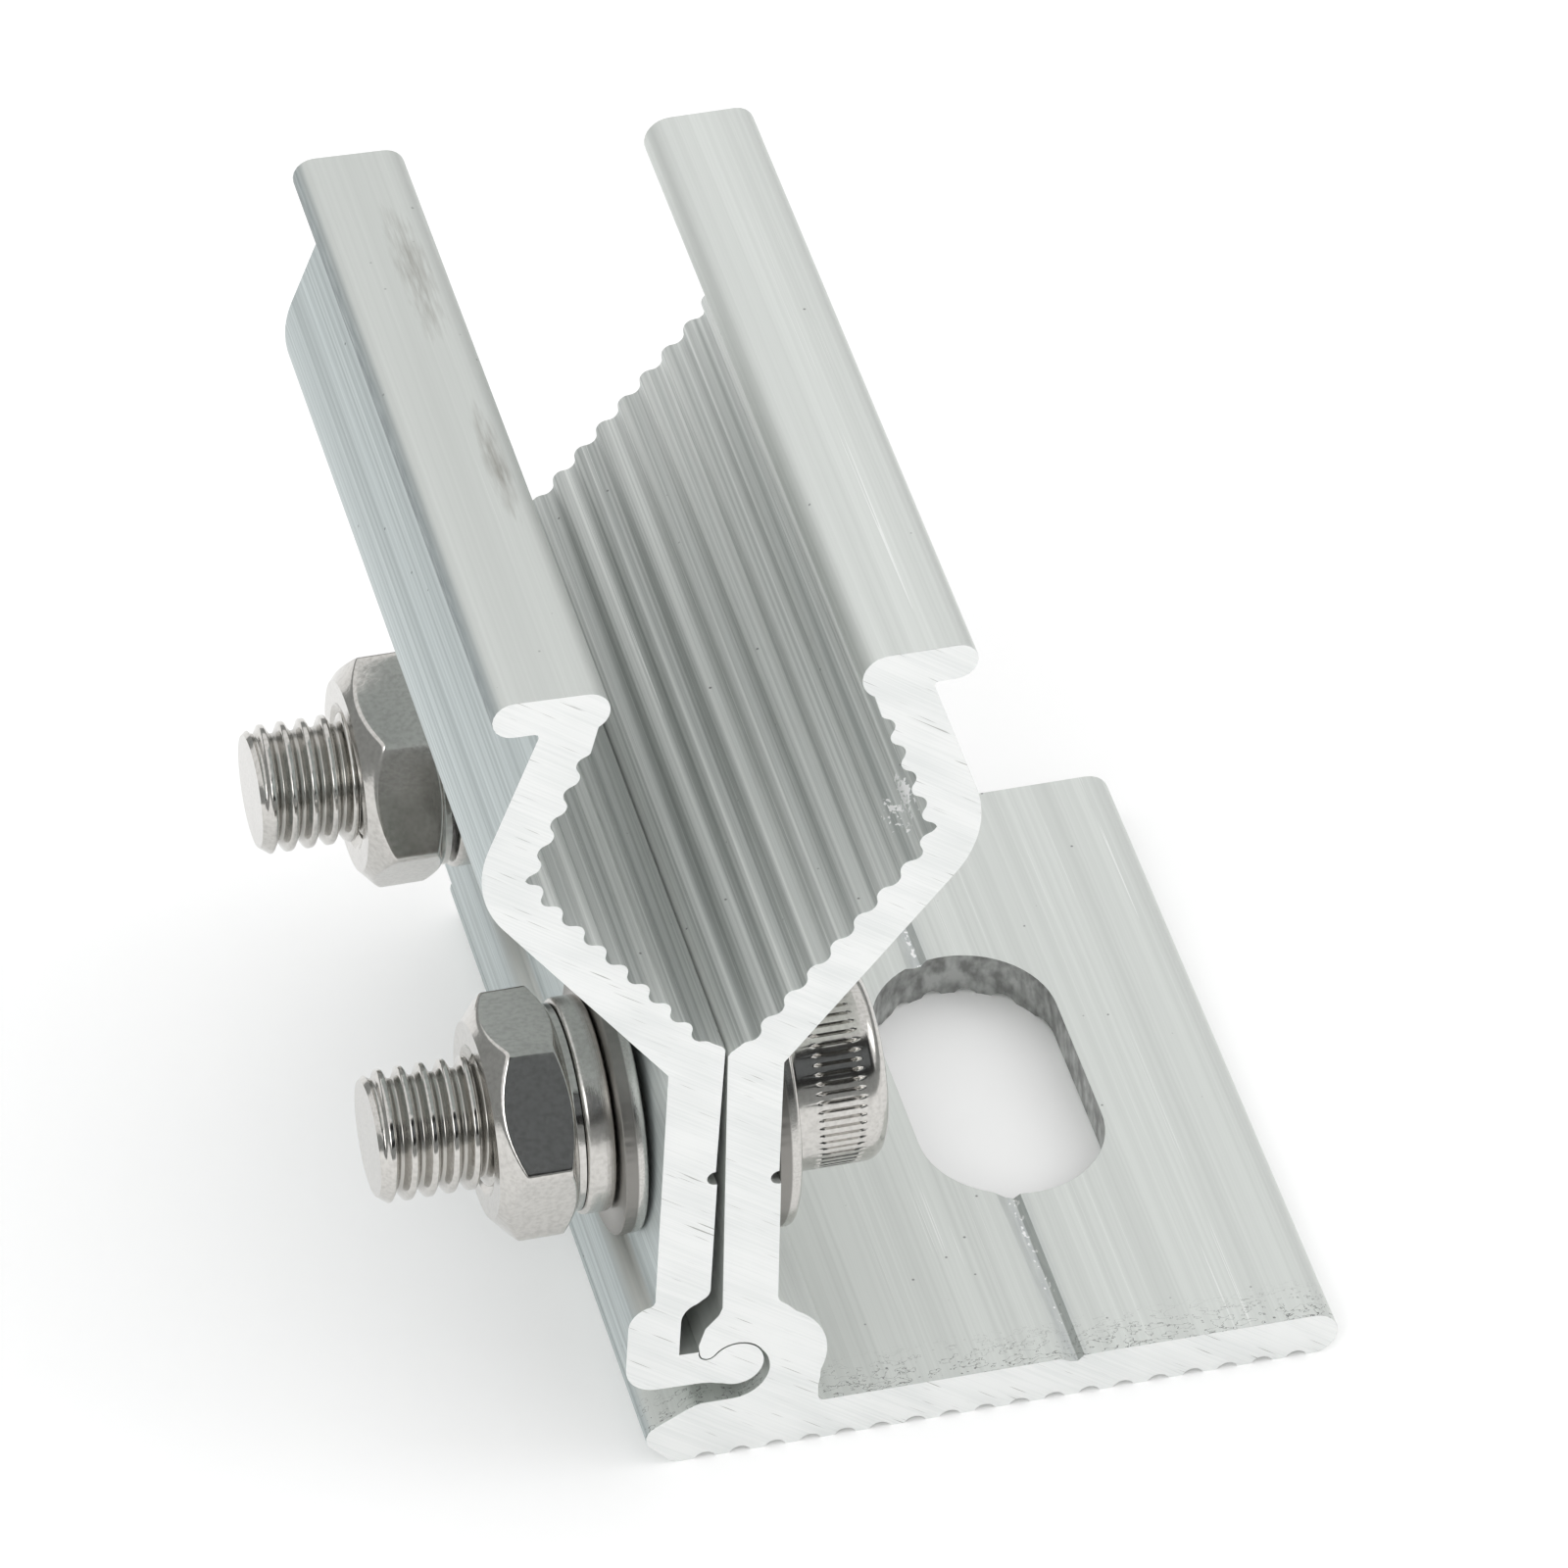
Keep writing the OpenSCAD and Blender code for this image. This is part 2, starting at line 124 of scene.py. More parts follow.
def thread_radius(along, angle, depth):
    """Crest radius less the groove. The phase is along / pitch minus the angle's share of a turn.
    From the groove's middle its share falls from 1 to 0, eased as 3 s squared less 2 s cubed."""
    phase = (along / PITCH - angle / TAU) % 1.0
    from_middle = np.abs(phase - 0.5) * 2
    share = np.clip((FLANK_END - from_middle) / FLANK_WIDE, 0, 1)
    return CREST_R - depth * share * share * (3 - 2 * share)


def screw_shank(name, node, head_under):
    """The groove fades out over the last millimetre, where the end is chamfered to a flat."""
    tip, _, axis, _ = span(node)
    along = np.linspace(0, head_under - tip, 430)[:, None]
    angle = np.linspace(0, TAU, 97)[None, :-1]
    to_tip = head_under - tip - along
    r = thread_radius(along, angle, THREAD_DEPTH * np.clip((to_tip + 0.1) / 0.9, 0, 1))
    r = np.minimum(r, TIP_R + to_tip * TIP_SLOPE)
    rows = [about_screw(axis, head_under, 0.0, angle), about_screw(axis, head_under - along, r, angle),
            about_screw(axis, tip, TIP_R * 0.98, angle), about_screw(axis, tip, 0.0, angle)]
    return finish_mesh(grid_mesh(name, np.concatenate(rows), False, True), 40)


# %% [markdown]
# The head is one turned shape too: down into the hexagon socket, over the rounded rim, along the
# knurled grip, past the plain collar to the seat. The knurling tool leaves narrow grooves between
# wide lands, and both run out to points at the ends of the grip.

# %% Knurled heads
KNURLS = 66
KNURL_DEPTH = 0.26
KNURL_FROM, KNURL_TO = 1.7, 4.65
SOCKET_AF, SOCKET_MOUTH = 6.0, 3.72
HEAD_ROUND = 1.15


def hexagon(angle, flats, softness):
    """Radius of a hexagon with soft corners. Each side's reach is the cosine of the angle to its
    middle; a high power mean of the six takes the longest, and blends two near a corner."""
    sides = np.arange(6).reshape(-1, 1, 1) * TAU / 6
    reach = np.maximum(np.cos(angle[None] - sides), 0) ** softness
    return flats / 2 / reach.sum(axis=0) ** (1 / softness)


def screw_head(name, node, under, turn):
    """Round the head, a groove is deepest where the cosine of the knurl count times the angle is
    one, and takes up less than half the pitch. Along the head its ends run out to points. The
    socket's wall is the larger of the hexagon and of a cone that narrows by 1 mm for each mm down."""
    _, top, axis, head_r = span(node)
    angle = np.linspace(0, TAU, KNURLS * 10 + 1)[None, :-1]
    socket = hexagon(angle + turn, SOCKET_AF, 2000)
    down = np.array([0.72, 0.6, 0.48, 0.36, 0.24, 0.12, 0.0])[:, None]
    mouth = np.maximum(socket, SOCKET_MOUTH - down)
    bend = np.linspace(np.pi / 2, 0, 10)[:, None]
    rim_x = top - HEAD_ROUND + HEAD_ROUND * np.sin(bend)
    rim_r = head_r - HEAD_ROUND + HEAD_ROUND * np.cos(bend)
    grip = np.append(np.linspace(top - HEAD_ROUND - under, KNURL_FROM - 0.1, 30), [0.8, 0.2])[:, None]
    share = (grip - KNURL_FROM) / (KNURL_TO - KNURL_FROM)
    window = np.clip(np.minimum(share, 1 - share) * 4, 0, 1) ** 0.7
    groove = np.clip((np.cos(KNURLS * angle) - 0.3) / 0.7, 0, 1)
    grip_r = head_r - KNURL_DEPTH * np.clip(groove - (1 - window), 0, 1)
    rows = [about_screw(axis, top - 3.4, 0.0, angle), about_screw(axis, top - 3.2, socket * 0.97, angle),
            about_screw(axis, top - down, mouth, angle),
            about_screw(axis, top, head_r - HEAD_ROUND - 0.14, angle),
            about_screw(axis, top - 0.05, head_r - HEAD_ROUND - 0.07, angle),
            about_screw(axis, rim_x, rim_r, angle), about_screw(axis, under + grip, grip_r, angle),
            about_screw(axis, under, head_r - 0.2, angle), about_screw(axis, under, 0.0, angle)]
    return finish_mesh(grid_mesh(name, np.concatenate(rows), False, True), 50)


# %% [markdown]
# Washers are stamped from sheet. The punch rolls one edge over, shears a smooth band, and tears the
# rest, so the rim is half bright and half rough. The ring is a small closed profile turned once.

# %% Flat washers
WASHER_BORE = 4.22


def flat_washer(name, node):
    """The profile is walked as x and r pairs from the rolled side, which has quarter rounds. On the
    torn half of the rim, the radius wanders by a few hundredths of a millimetre."""
    low, high, axis, outer = span(node)
    t, roll = high - low, 0.28
    bend = np.linspace(0, np.pi / 2, 6)
    near = np.stack([roll - roll * np.sin(bend), outer - roll + roll * np.cos(bend)], -1)
    inner = np.stack([roll - roll * np.cos(bend), WASHER_BORE + roll - roll * np.sin(bend)], -1)
    rim = np.stack([np.linspace(t - 0.06, t * 0.42, 8), np.full(8, outer)], -1)
    profile = np.concatenate([[[t, WASHER_BORE + 0.04], [t, outer - 0.08]], rim, near, inner,
                              [[t - 0.04, WASHER_BORE]]])
    angle = np.linspace(0, TAU, 361)[None, :-1]
    torn = np.clip(profile[:, :1] / t * 3 - 1.4, 0, 1) * (profile[:, 1:] > outer - 0.1)
    ripple = np.sin(angle * 41) * np.sin(angle * 13 + 1) + 0.6 * np.sin(angle * 97 + 2)
    r = profile[:, 1:] - 0.015 * torn * (1 + ripple)
    return finish_mesh(grid_mesh(name, about_screw(axis, high - profile[:, :1], r, angle), True, True), 35)


# %% [markdown]
# A spring washer is a square wire led almost once round, and its two ends stand apart. So the
# section is carried along a slow helix, and each end is closed by drawing the section to its middle.

# %% Split spring washers
SPRING_T = 1.75
SPRING_R = span("rear_spring_washer")[3]
SPRING_GAP = np.radians(14)
SPRING_EDGE = 0.3


def wire_section():
    """A rectangle with round corners, walked once round: four quarter circles of one radius, each
    about its own corner's middle."""
    low, high = SPRING_EDGE, SPRING_T - SPRING_EDGE
    inner, outer = WASHER_BORE + SPRING_EDGE, SPRING_R - SPRING_EDGE
    middles = np.array([[low, inner], [low, outer], [high, outer], [high, inner]])[:, None]
    bend = np.array([1.5, 1.0, 0.5, 0.0])[:, None] * np.pi - np.linspace(0, np.pi / 2, 5)[None]
    return (middles + SPRING_EDGE * np.stack([np.cos(bend), np.sin(bend)], -1)).reshape(-1, 2)


def spring_washer(name, node, split_at):
    """At a share s of the way round, the section sits at the split angle plus half the gap plus
    s times the rest of the turn, and has moved s times the opening towards the nut."""
    low, high, axis, _ = span(node)
    opening = high - low - SPRING_T
    section = wire_section()[None]
    share = np.linspace(0, 1, 160)[:, None]
    angle = split_at + SPRING_GAP / 2 + (TAU - SPRING_GAP) * share
    body = about_screw(axis, high - section[..., 0] - opening * share, section[..., 1], angle)
    middle = body.mean(axis=1, keepdims=True)
    first = middle[:1] + (body[:1] - middle[:1]) * np.array([0.0, 0.93])[:, None, None]
    last = middle[-1:] + (body[-1:] - middle[-1:]) * np.array([0.93, 0.0])[:, None, None]
    return finish_mesh(grid_mesh(name, np.concatenate([first, body, last]), False, True), 40)


# %% [markdown]
# The nut is a hexagon that a cone has cut on its outer side, which leaves the curved edges on its
# flats. Its seat side has a low round step, the washer face. Taken as a radius, each of these
# limits the one before, and a soft minimum rounds the edge between them as tumbling does.

# %% Chamfered nuts with a washer face
NUT_FLATS = 12.8
SEAT_R, SEAT_RISE = NUT_FLATS / 2 - 0.25, 0.4
FAR_R = NUT_FLATS / 2 - 0.55


def soft_min(a, b, width):
    """The smaller of a and b, blended by a parabola where they differ by less than width."""
    blend = np.clip(0.5 + (b - a) / (2 * width), 0, 1)
    return b + (a - b) * blend - width * blend * (1 - blend)


def nut(name, node, corner_at):
    """u runs from the outer face to the seat. The outer cone's radius grows by u over tan 42; the
    seat's is its step, then a cone that grows by the height over it divided by tan 30."""
    low, high, axis, _ = span(node)
    t = high - low
    angle = np.linspace(0, TAU, 361)[None, :-1]
    u = np.concatenate([np.linspace(0, 1.9, 34), np.linspace(2.0, t - 1.6, 6), np.linspace(t - 1.5, t, 34)])
    u = u[:, None]
    cone = FAR_R + u / np.tan(np.radians(42))
    seat = SEAT_R + np.maximum(t - u - SEAT_RISE, 0) / np.tan(np.radians(30))
    body = soft_min(cone, hexagon(angle - corner_at - TAU / 12, NUT_FLATS, 70), 0.16)
    v = np.linspace(t, 0, 60)[:, None]
    bore = 4.0 + np.clip(0.5 - np.minimum(v, t - v), 0, 1) + 0 * angle
    grid = [about_screw(axis, low + u, soft_min(body, seat, 0.1), angle),
            about_screw(axis, low + v, bore, angle)]
    return finish_mesh(grid_mesh(name, np.concatenate(grid), True, True), 30)


# %% [markdown]
# Lathe, press and brush marks run round a screw's axis. So each vertex keeps its place along the
# axis and its distance from it, and the steel reads those. A third number marks what is painted
# darker: the torn half of a stamped rim, which is dull, and the walls of the broached socket and the
# roots of a thread, where the darkening is painted shade.

# %% Turning coordinates


def mark_turning(piece, node, finish):
    """Stores x, the distance from the axis, and a share that is dull on a torn rim and painted shade
    in the socket and at the thread roots. The distance is the root of y squared plus z squared, both
    measured from the axis."""
    low, high, axis, outer = span(node)
    count = len(piece.data.vertices)
    co = np.empty(count * 3)
    piece.data.vertices.foreach_get("co", co)
    co = co.reshape(-1, 3)
    x = co[:, 0] / MM
    r = np.hypot(co[:, 1] / MM - axis[0], co[:, 2] / MM - axis[1])
    dull_and_shade = np.zeros(count)
    if finish == "stamped":
        dull_and_shade = (x < low + (high - low) * 0.52) & (r > outer - 0.12)
    # The socket's walls are painted in shade
    if finish == "turned":
        dull_and_shade = (x < high - 0.3) & (r < SOCKET_MOUTH - 0.2)
    # The thread's roots are painted in shade
    if finish == "rolled":
        dull_and_shade = np.clip((CREST_R - 0.25 - r) / 0.45, 0, 1) * (x > low + 0.3)
    layer = piece.data.attributes.new("turned", "FLOAT_VECTOR", "POINT")
    layer.data.foreach_set("vector", np.stack([x * MM, r * MM, dull_and_shade], -1).ravel())
    return float(dull_and_shade.mean())


# %% Put the fasteners on their bodies
head_under = span("front_head_washer")[1] + 0.02
NUT_CORNER = {"front": np.radians(47.8), "rear": np.radians(66.6)}
SPLIT_AT = {"front": np.radians(252), "rear": np.radians(30)}
fasteners = {"rolled": [], "turned": [], "stamped": [], "sprung": [], "forged": []}
for end in ("front", "rear"):
    screw, flat, head_ring = end + "_screw", end + "_flat_washer", end + "_head_washer"
    spring, hexagon_nut = end + "_spring_washer", end + "_nut"
    made = [
        ("rolled", screw_shank(end + "_screw_shank", screw, head_under), screw, screw),
        ("turned", screw_head(end + "_screw_head", screw, head_under, TAU / 20), screw, screw),
        ("stamped", flat_washer(head_ring + "_ring", head_ring), screw, head_ring),
        ("stamped", flat_washer(flat + "_ring", flat), end + "_washers", flat),
        ("sprung", spring_washer(spring + "_ring", spring, SPLIT_AT[end]), end + "_washers", spring),
        ("forged", nut(hexagon_nut + "_hexagon", hexagon_nut, NUT_CORNER[end]), end + "_nut", hexagon_nut),
    ]
    for finish, piece, body, node in made:
        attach(piece, body)
        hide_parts(node)
        dull_and_shade = mark_turning(piece, node, finish)
        fasteners[finish].append(piece)
        print(f"{piece.name} rides {body}, {dull_and_shade:.0%} of it dull")

# %% [markdown]
# The jaws keep the solid model's shape, slot and holes. A merged copy is shaded smooth along its
# round stretches, and a very small bevel breaks the saw-cut edges, which catch a line of light.

# %% Jaws with softened edges
MILL, TOOTHED, SAWN, MILLED = 0, 1, 2, 3
# Heights of the toothed mouth, the web side of the slot and the top of the foot, in millimetres
MOUTH_LOW, MOUTH_HIGH = 26, 57
SLOT_FROM, FOOT_TOP = 16, 6
EDGE_BREAK = 0.07
jaws = {}
for node in ("base_jaw", "hook_jaw"):
    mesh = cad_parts[node].data.copy()
    mesh.materials.clear()
    piece = bpy.data.objects.new(node + "_extrusion", mesh)
    bpy.context.scene.collection.objects.link(piece)
    work = bmesh.new()
    work.from_mesh(mesh)
    bmesh.ops.remove_doubles(work, verts=work.verts, dist=0.0005 * MM)
    bmesh.ops.dissolve_limit(work, angle_limit=np.radians(0.5), verts=work.verts, edges=work.edges)
    low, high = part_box(node)
    for face in work.faces:
        face.smooth = True
        middle = face.calc_center_median()
        at_end = min(middle.y - low.y, high.y - middle.y) < 0.2 * MM
        in_slot = middle.x > SLOT_FROM * MM and middle.z < FOOT_TOP * MM and face.normal.z ** 2 < 0.25
        at_side = high.x - middle.x < 1 * MM
        inward = face.normal.x if node == "hook_jaw" else -face.normal.x
        in_mouth = MOUTH_LOW * MM < middle.z < MOUTH_HIGH * MM and inward > 0.05
        face.material_index = (SAWN if at_end else MILLED if in_slot and not at_side
                               else TOOTHED if in_mouth else MILL)
    for edge in work.edges:
        edge.smooth = edge.calc_face_angle(0) < np.radians(38)
    work.to_mesh(mesh)
    work.free()
    bevel = piece.modifiers.new("edge break", "BEVEL")
    bevel.width = EDGE_BREAK * MM
    bevel.segments = 2
    bevel.limit_method = "ANGLE"
    bevel.angle_limit = np.radians(50)
    even = piece.modifiers.new("even shading", "WEIGHTED_NORMAL")
    even.keep_sharp = True
    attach(piece, node)
    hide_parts(node)
    jaws[node] = piece
    kinds = np.array([face.material_index for face in mesh.polygons])
    print(node, "faces:", np.bincount(kinds, minlength=4), "drawn, toothed, sawn, milled")

# %% [markdown]
# ## Materials
# Colours are written as sRGB hex, as a colour picker shows them, and one function makes them linear.

# %% Colours and nodes


def linear(code):
    """sRGB hex to linear: each channel over 255, then the sRGB curve."""
    c = np.array([int(code[k:k + 2], 16) for k in (1, 3, 5)]) / 255
    c = np.where(c <= 0.04045, c / 12.92, ((c + 0.055) / 1.055) ** 2.4)
    return (*c.tolist(), 1.0)


def add(tree, kind, links=(), **settings):
    """Adds one node. A setting is a property of the node, or a socket named with underscores;
    links are pairs of a socket's name or number and what feeds it."""
    made = tree.nodes.new(kind)
    for key, value in settings.items():
        if hasattr(made, key):
            setattr(made, key, value)
        else:
            made.inputs[key.replace("_", " ")].default_value = value
    for socket, source in links:
        tree.links.new(source, made.inputs[socket])
    return made


def new_material(name):
    """An empty material and its node tree."""
    material = bpy.data.materials.new(name)
    material.use_nodes = True
    tree = material.node_tree
    tree.nodes.clear()
    return material, tree


# %% [markdown]
# ** Mill-finish aluminium.** An extrusion leaves its steel die with fine lines along its length. The
# billet's oxide skin makes it a satin, slightly cool grey. The teeth in the mouth drag more, so the
# lines there are deeper, and the mouth is painted darker as shade in the narrow cavity. Handling
# adds hair-thin scratches, a few pits, and rubbed brown-grey stains on the left flange. Painted shade
# runs along that flange's lip and in the groove of the base plate, with painted highlights as bright
# specks in the groove and painted glints on a few tooth tips. The hook jaw's outer flank gets painted
# shade, darker and bluer.

# %% Mill finish
# Light and dark of the painted shade on the hook jaw's outer flank
FLANK_SHADED_LINE_LIGHT, FLANK_SHADED_LINE_DARK = "#F8FCFF", "#C0C7CA"
MILL_FINISHES = {
    # light and dark of the die lines, their depth, roughness
    "extruded_aluminium_mill_finish": ("#E6E9E6", "#DADDDA", 0.3, 0.58),
    # In the toothed mouth the dark colour is painted shade in the narrow cavity; the deeper relief and
    # higher roughness are its own
    "extruded_aluminium_toothed_mouth_painted_shade": ("#F0F2F0", "#BABEBC", 0.6, 0.7),
}
FLANGE_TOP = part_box("hook_jaw")[1].z / MM
# Marks are soft ellipsoids, each a middle and half sizes in millimetres
STAINS = [((-8.7, -4.2, FLANGE_TOP), (1.1, 8, 3)), ((-9.3, 13.5, FLANGE_TOP), (1.9, 11, 3))]
HOOK_FLANGE = ((-11, 0, FLANGE_TOP), (9, 120, 5))
# Painted shade along the lip of the left flange
LIP_PAINTED_SHADE = ((-13.9, 0, FLANGE_TOP - 1.5), (1.2, 90, 1.3))
# Painted glints on a few tooth tips near the front of the mouth
PAINTED_GLINTS = ((10.5, -21, 47), (5, 6, 8))
# Painted shade and painted highlights in the groove of the base plate
GROOVE_SHADE_AND_HIGHLIGHTS = ((21.8, 0, 3.0), (1.1, 90, 2))

drawn = []
for name, (light, dark, depth, roughness) in MILL_FINISHES.items():
    mill, tree = new_material(name)
    place = add(tree, "ShaderNodeTexCoord").outputs["Object"]

    # Die lines 0.2 mm apart and longer than the clamp: the sheen breaks up along the extrusion
    fine = add(tree, "ShaderNodeMapping", [(0, place)], vector_type="TEXTURE", Scale=(0.0002, 0.08, 0.0002))
    fine = add(tree, "ShaderNodeTexNoise", [("Vector", fine.outputs[0])], Scale=1.0, Detail=2.0)
    # Broad bands 1.2 mm apart, as the die's bearing wears unevenly
    band = add(tree, "ShaderNodeMapping", [(0, place)], vector_type="TEXTURE", Scale=(0.0012, 0.12, 0.0012))
    band = add(tree, "ShaderNodeTexNoise", [("Vector", band.outputs[0])], Scale=1.0, Detail=1.0)
    lines = add(tree, "ShaderNodeMath", [(0, fine.outputs[0]), (1, band.outputs[0])], operation="ADD")
    tone = add(tree, "ShaderNodeMapRange", [("Value", lines.outputs[0])], From_Min=0.7, From_Max=1.3)
    colour = add(tree, "ShaderNodeMix", [(0, tone.outputs[0])], data_type="RGBA")
    colour.inputs[6].default_value = linear(dark)
    colour.inputs[7].default_value = linear(light)

    # Scratches: pale lines a few hundredths wide, straight along the length, broken every 10 mm or so
    hair = add(tree, "ShaderNodeMapping", [(0, place)], vector_type="TEXTURE", Scale=(0.0007, 0.35, 0.0007))
    hair = add(tree, "ShaderNodeTexNoise", [("Vector", hair.outputs[0])], Scale=1.0, Detail=0.0)
    hair = add(tree, "ShaderNodeMath", [(0, hair.outputs[0])], operation="COMPARE")
    hair.inputs[1].default_value, hair.inputs[2].default_value = 0.66, 0.004
    broken = add(tree, "ShaderNodeMapping", [(0, place)], vector_type="TEXTURE", Scale=(0.004, 0.01, 0.004))
    broken = add(tree, "ShaderNodeTexNoise", [("Vector", broken.outputs[0])], Scale=1.0, Detail=0.0)
    broken = add(tree, "ShaderNodeMapRange", [("Value", broken.outputs[0])], From_Min=0.5, From_Max=0.6)
    scratch = add(tree, "ShaderNodeMath", [(0, hair.outputs[0]), (1, broken.outputs[0])],
                  operation="MULTIPLY")
    colour = add(tree, "ShaderNodeMix", [(0, scratch.outputs[0]), (6, colour.outputs[2])], data_type="RGBA")
    colour.inputs[7].default_value = linear("#F3F5F3")

    # Pits: dark dots 0.1 mm across, about one to each 2.2 mm cell
    cells = add(tree, "ShaderNodeMapping", [(0, place)], vector_type="TEXTURE", Scale=[0.0022] * 3)
    cells = add(tree, "ShaderNodeTexVoronoi", [("Vector", cells.outputs[0])], Scale=1.0)
    pit = add(tree, "ShaderNodeMapRange", [("Value", cells.outputs["Distance"])], From_Min=0.05,
              From_Max=0.025)
    colour = add(tree, "ShaderNodeMix", [(0, pit.outputs[0]), (6, colour.outputs[2])], data_type="RGBA")
    colour.inputs[7].default_value = linear("#9A9C9B")

    # Smears 0.2 mm wide and 2 mm long make the stains, and the painted shade along the lip and in the
    # groove. Spots of 0.3 mm make the painted glints on a few tooth tips and the painted highlights in the
    # groove
    stain_and_shade_smears = add(tree, "ShaderNodeMapping", [(0, place)], vector_type="TEXTURE",
                 Scale=(0.0002, 0.002, 0.0002))
    stain_and_shade_smears = add(tree, "ShaderNodeTexNoise", [("Vector", stain_and_shade_smears.outputs[0])], Scale=1.0, Detail=3.0)
    glint_spots = add(tree, "ShaderNodeMapping", [(0, place)], vector_type="TEXTURE",
                Scale=(0.0003, 0.0004, 0.0003))
    glint_spots = add(tree, "ShaderNodeTexNoise", [("Vector", glint_spots.outputs[0])], Scale=1.0, Detail=3.0)
    marks = [
        # where, made of, none below and full above, colour
        (HOOK_FLANGE, band, 0.0, 0.9, "#CBCECB"),
        (STAINS[0], stain_and_shade_smears, 0.14, 0.75, "#94918A"),
        (STAINS[1], stain_and_shade_smears, 0.2, 0.85, "#94918A"),
        # Painted shade along the flange's lip
        (LIP_PAINTED_SHADE, stain_and_shade_smears, 0.0, 0.45, "#9A9E9D"),
        # Painted shade in the groove, then painted highlights as bright specks in it
        (GROOVE_SHADE_AND_HIGHLIGHTS, stain_and_shade_smears, 0.05, 0.8, "#BABEC0"),
        (GROOVE_SHADE_AND_HIGHLIGHTS, glint_spots, 0.44, 0.49, "#FFFFFF"),
        # Painted glints on a few tooth tips
        (PAINTED_GLINTS, glint_spots, 0.38, 0.42, "#FFFFFF"),
    ]
    for (middle, half), strokes, few, many, code in marks:
        patch = add(tree, "ShaderNodeMapping", [(0, place)], vector_type="TEXTURE",
                    Location=[v * MM for v in middle], Scale=[v * MM for v in half])
        patch = add(tree, "ShaderNodeTexGradient", [(0, patch.outputs[0])], gradient_type="SPHERICAL")
        both = add(tree, "ShaderNodeMath", [(0, patch.outputs[1]), (1, strokes.outputs[0])],
                   operation="MULTIPLY")
        shown = add(tree, "ShaderNodeMapRange", [("Value", both.outputs[0])], From_Min=few, From_Max=many)
        colour = add(tree, "ShaderNodeMix", [(0, shown.outputs[0]), (6, colour.outputs[2])],
                     data_type="RGBA")
        colour.inputs[7].default_value = linear(code)

    # Burr marks: thin dark squiggles 0.5 mm long, on the foot's last 2.5 mm before the front saw cut
    parts = add(tree, "ShaderNodeSeparateXYZ", [(0, place)])
    near = add(tree, "ShaderNodeMapRange", [("Value", parts.outputs[1])], From_Min=-0.0215,
               From_Max=-0.0247)
    foot = add(tree, "ShaderNodeMapRange", [("Value", parts.outputs[2])], From_Min=0.006, From_Max=0.005)
    near = add(tree, "ShaderNodeMath", [(0, near.outputs[0]), (1, foot.outputs[0])], operation="MULTIPLY")
    burr = add(tree, "ShaderNodeMapping", [(0, place)], vector_type="TEXTURE",
               Scale=(0.0007, 0.0004, 0.0007))
    burr = add(tree, "ShaderNodeTexNoise", [("Vector", burr.outputs[0])], Scale=1.0, Detail=2.0)
    burr = add(tree, "ShaderNodeMath", [(0, burr.outputs[0])], operation="COMPARE")
    burr.inputs[1].default_value, burr.inputs[2].default_value = 0.56, 0.012
    burr = add(tree, "ShaderNodeMath", [(0, burr.outputs[0]), (1, near.outputs[0])], operation="MULTIPLY")
    colour = add(tree, "ShaderNodeMix", [(0, burr.outputs[0]), (6, colour.outputs[2])], data_type="RGBA")
    colour.inputs[7].default_value = linear("#8E908E")

    # The hook jaw's outer flank, which faces left, gets painted shade: a darker, bluer tint, with clearer
    # die lines
    flank_shade_tint = add(tree, "ShaderNodeMix", [(0, fine.outputs[0])], data_type="RGBA")
    flank_shade_tint.inputs[6].default_value = linear(FLANK_SHADED_LINE_DARK)
    flank_shade_tint.inputs[7].default_value = linear(FLANK_SHADED_LINE_LIGHT)
    facing = add(tree, "ShaderNodeTexCoord").outputs["Normal"]
    facing = add(tree, "ShaderNodeSeparateXYZ", [(0, facing)])
    flank = add(tree, "ShaderNodeMapRange", [("Value", facing.outputs[0])], From_Min=-0.5, From_Max=-0.9)
    outside = add(tree, "ShaderNodeMapRange", [("Value", parts.outputs[0])], From_Min=-0.002,
                  From_Max=-0.004)
    flank = add(tree, "ShaderNodeMath", [(0, flank.outputs[0]), (1, outside.outputs[0])],
                operation="MULTIPLY")
    sources = [(0, flank.outputs[0]), (6, colour.outputs[2]), (7, flank_shade_tint.outputs[2])]
    colour = add(tree, "ShaderNodeMix", sources, data_type="RGBA", blend_type="MULTIPLY")

    relief = add(tree, "ShaderNodeBump", [("Height", lines.outputs[0])], Strength=depth, Distance=0.00002)
    metal = add(tree, "ShaderNodeBsdfPrincipled",
                [("Base Color", colour.outputs[2]), ("Normal", relief.outputs[0])], Metallic=1.0,
                Roughness=roughness)
    add(tree, "ShaderNodeOutputMaterial", [(0, metal.outputs[0])])
    drawn.append(mill)
    print(len(tree.nodes), "nodes in", name)

# %% [markdown]
# **Saw-cut aluminium.** The bar is cut to length on a circular saw. Its teeth leave bright parallel
# scratches that lean about 37 degrees, with a few deeper dark ones between them.

# %% Sawn ends
sawn, tree = new_material("saw_cut_aluminium")
place = add(tree, "ShaderNodeTexCoord").outputs["Object"]
lean = (0, np.radians(36.5), 0)

# Saw lines 0.12 mm apart and about 9 mm long: they give the ends their silky direction
saw = add(tree, "ShaderNodeMapping", [(0, place)], vector_type="TEXTURE", Rotation=lean,
          Scale=(0.009, 0.009, 0.00012))
saw = add(tree, "ShaderNodeTexNoise", [("Vector", saw.outputs[0])], Scale=1.0, Detail=2.0)
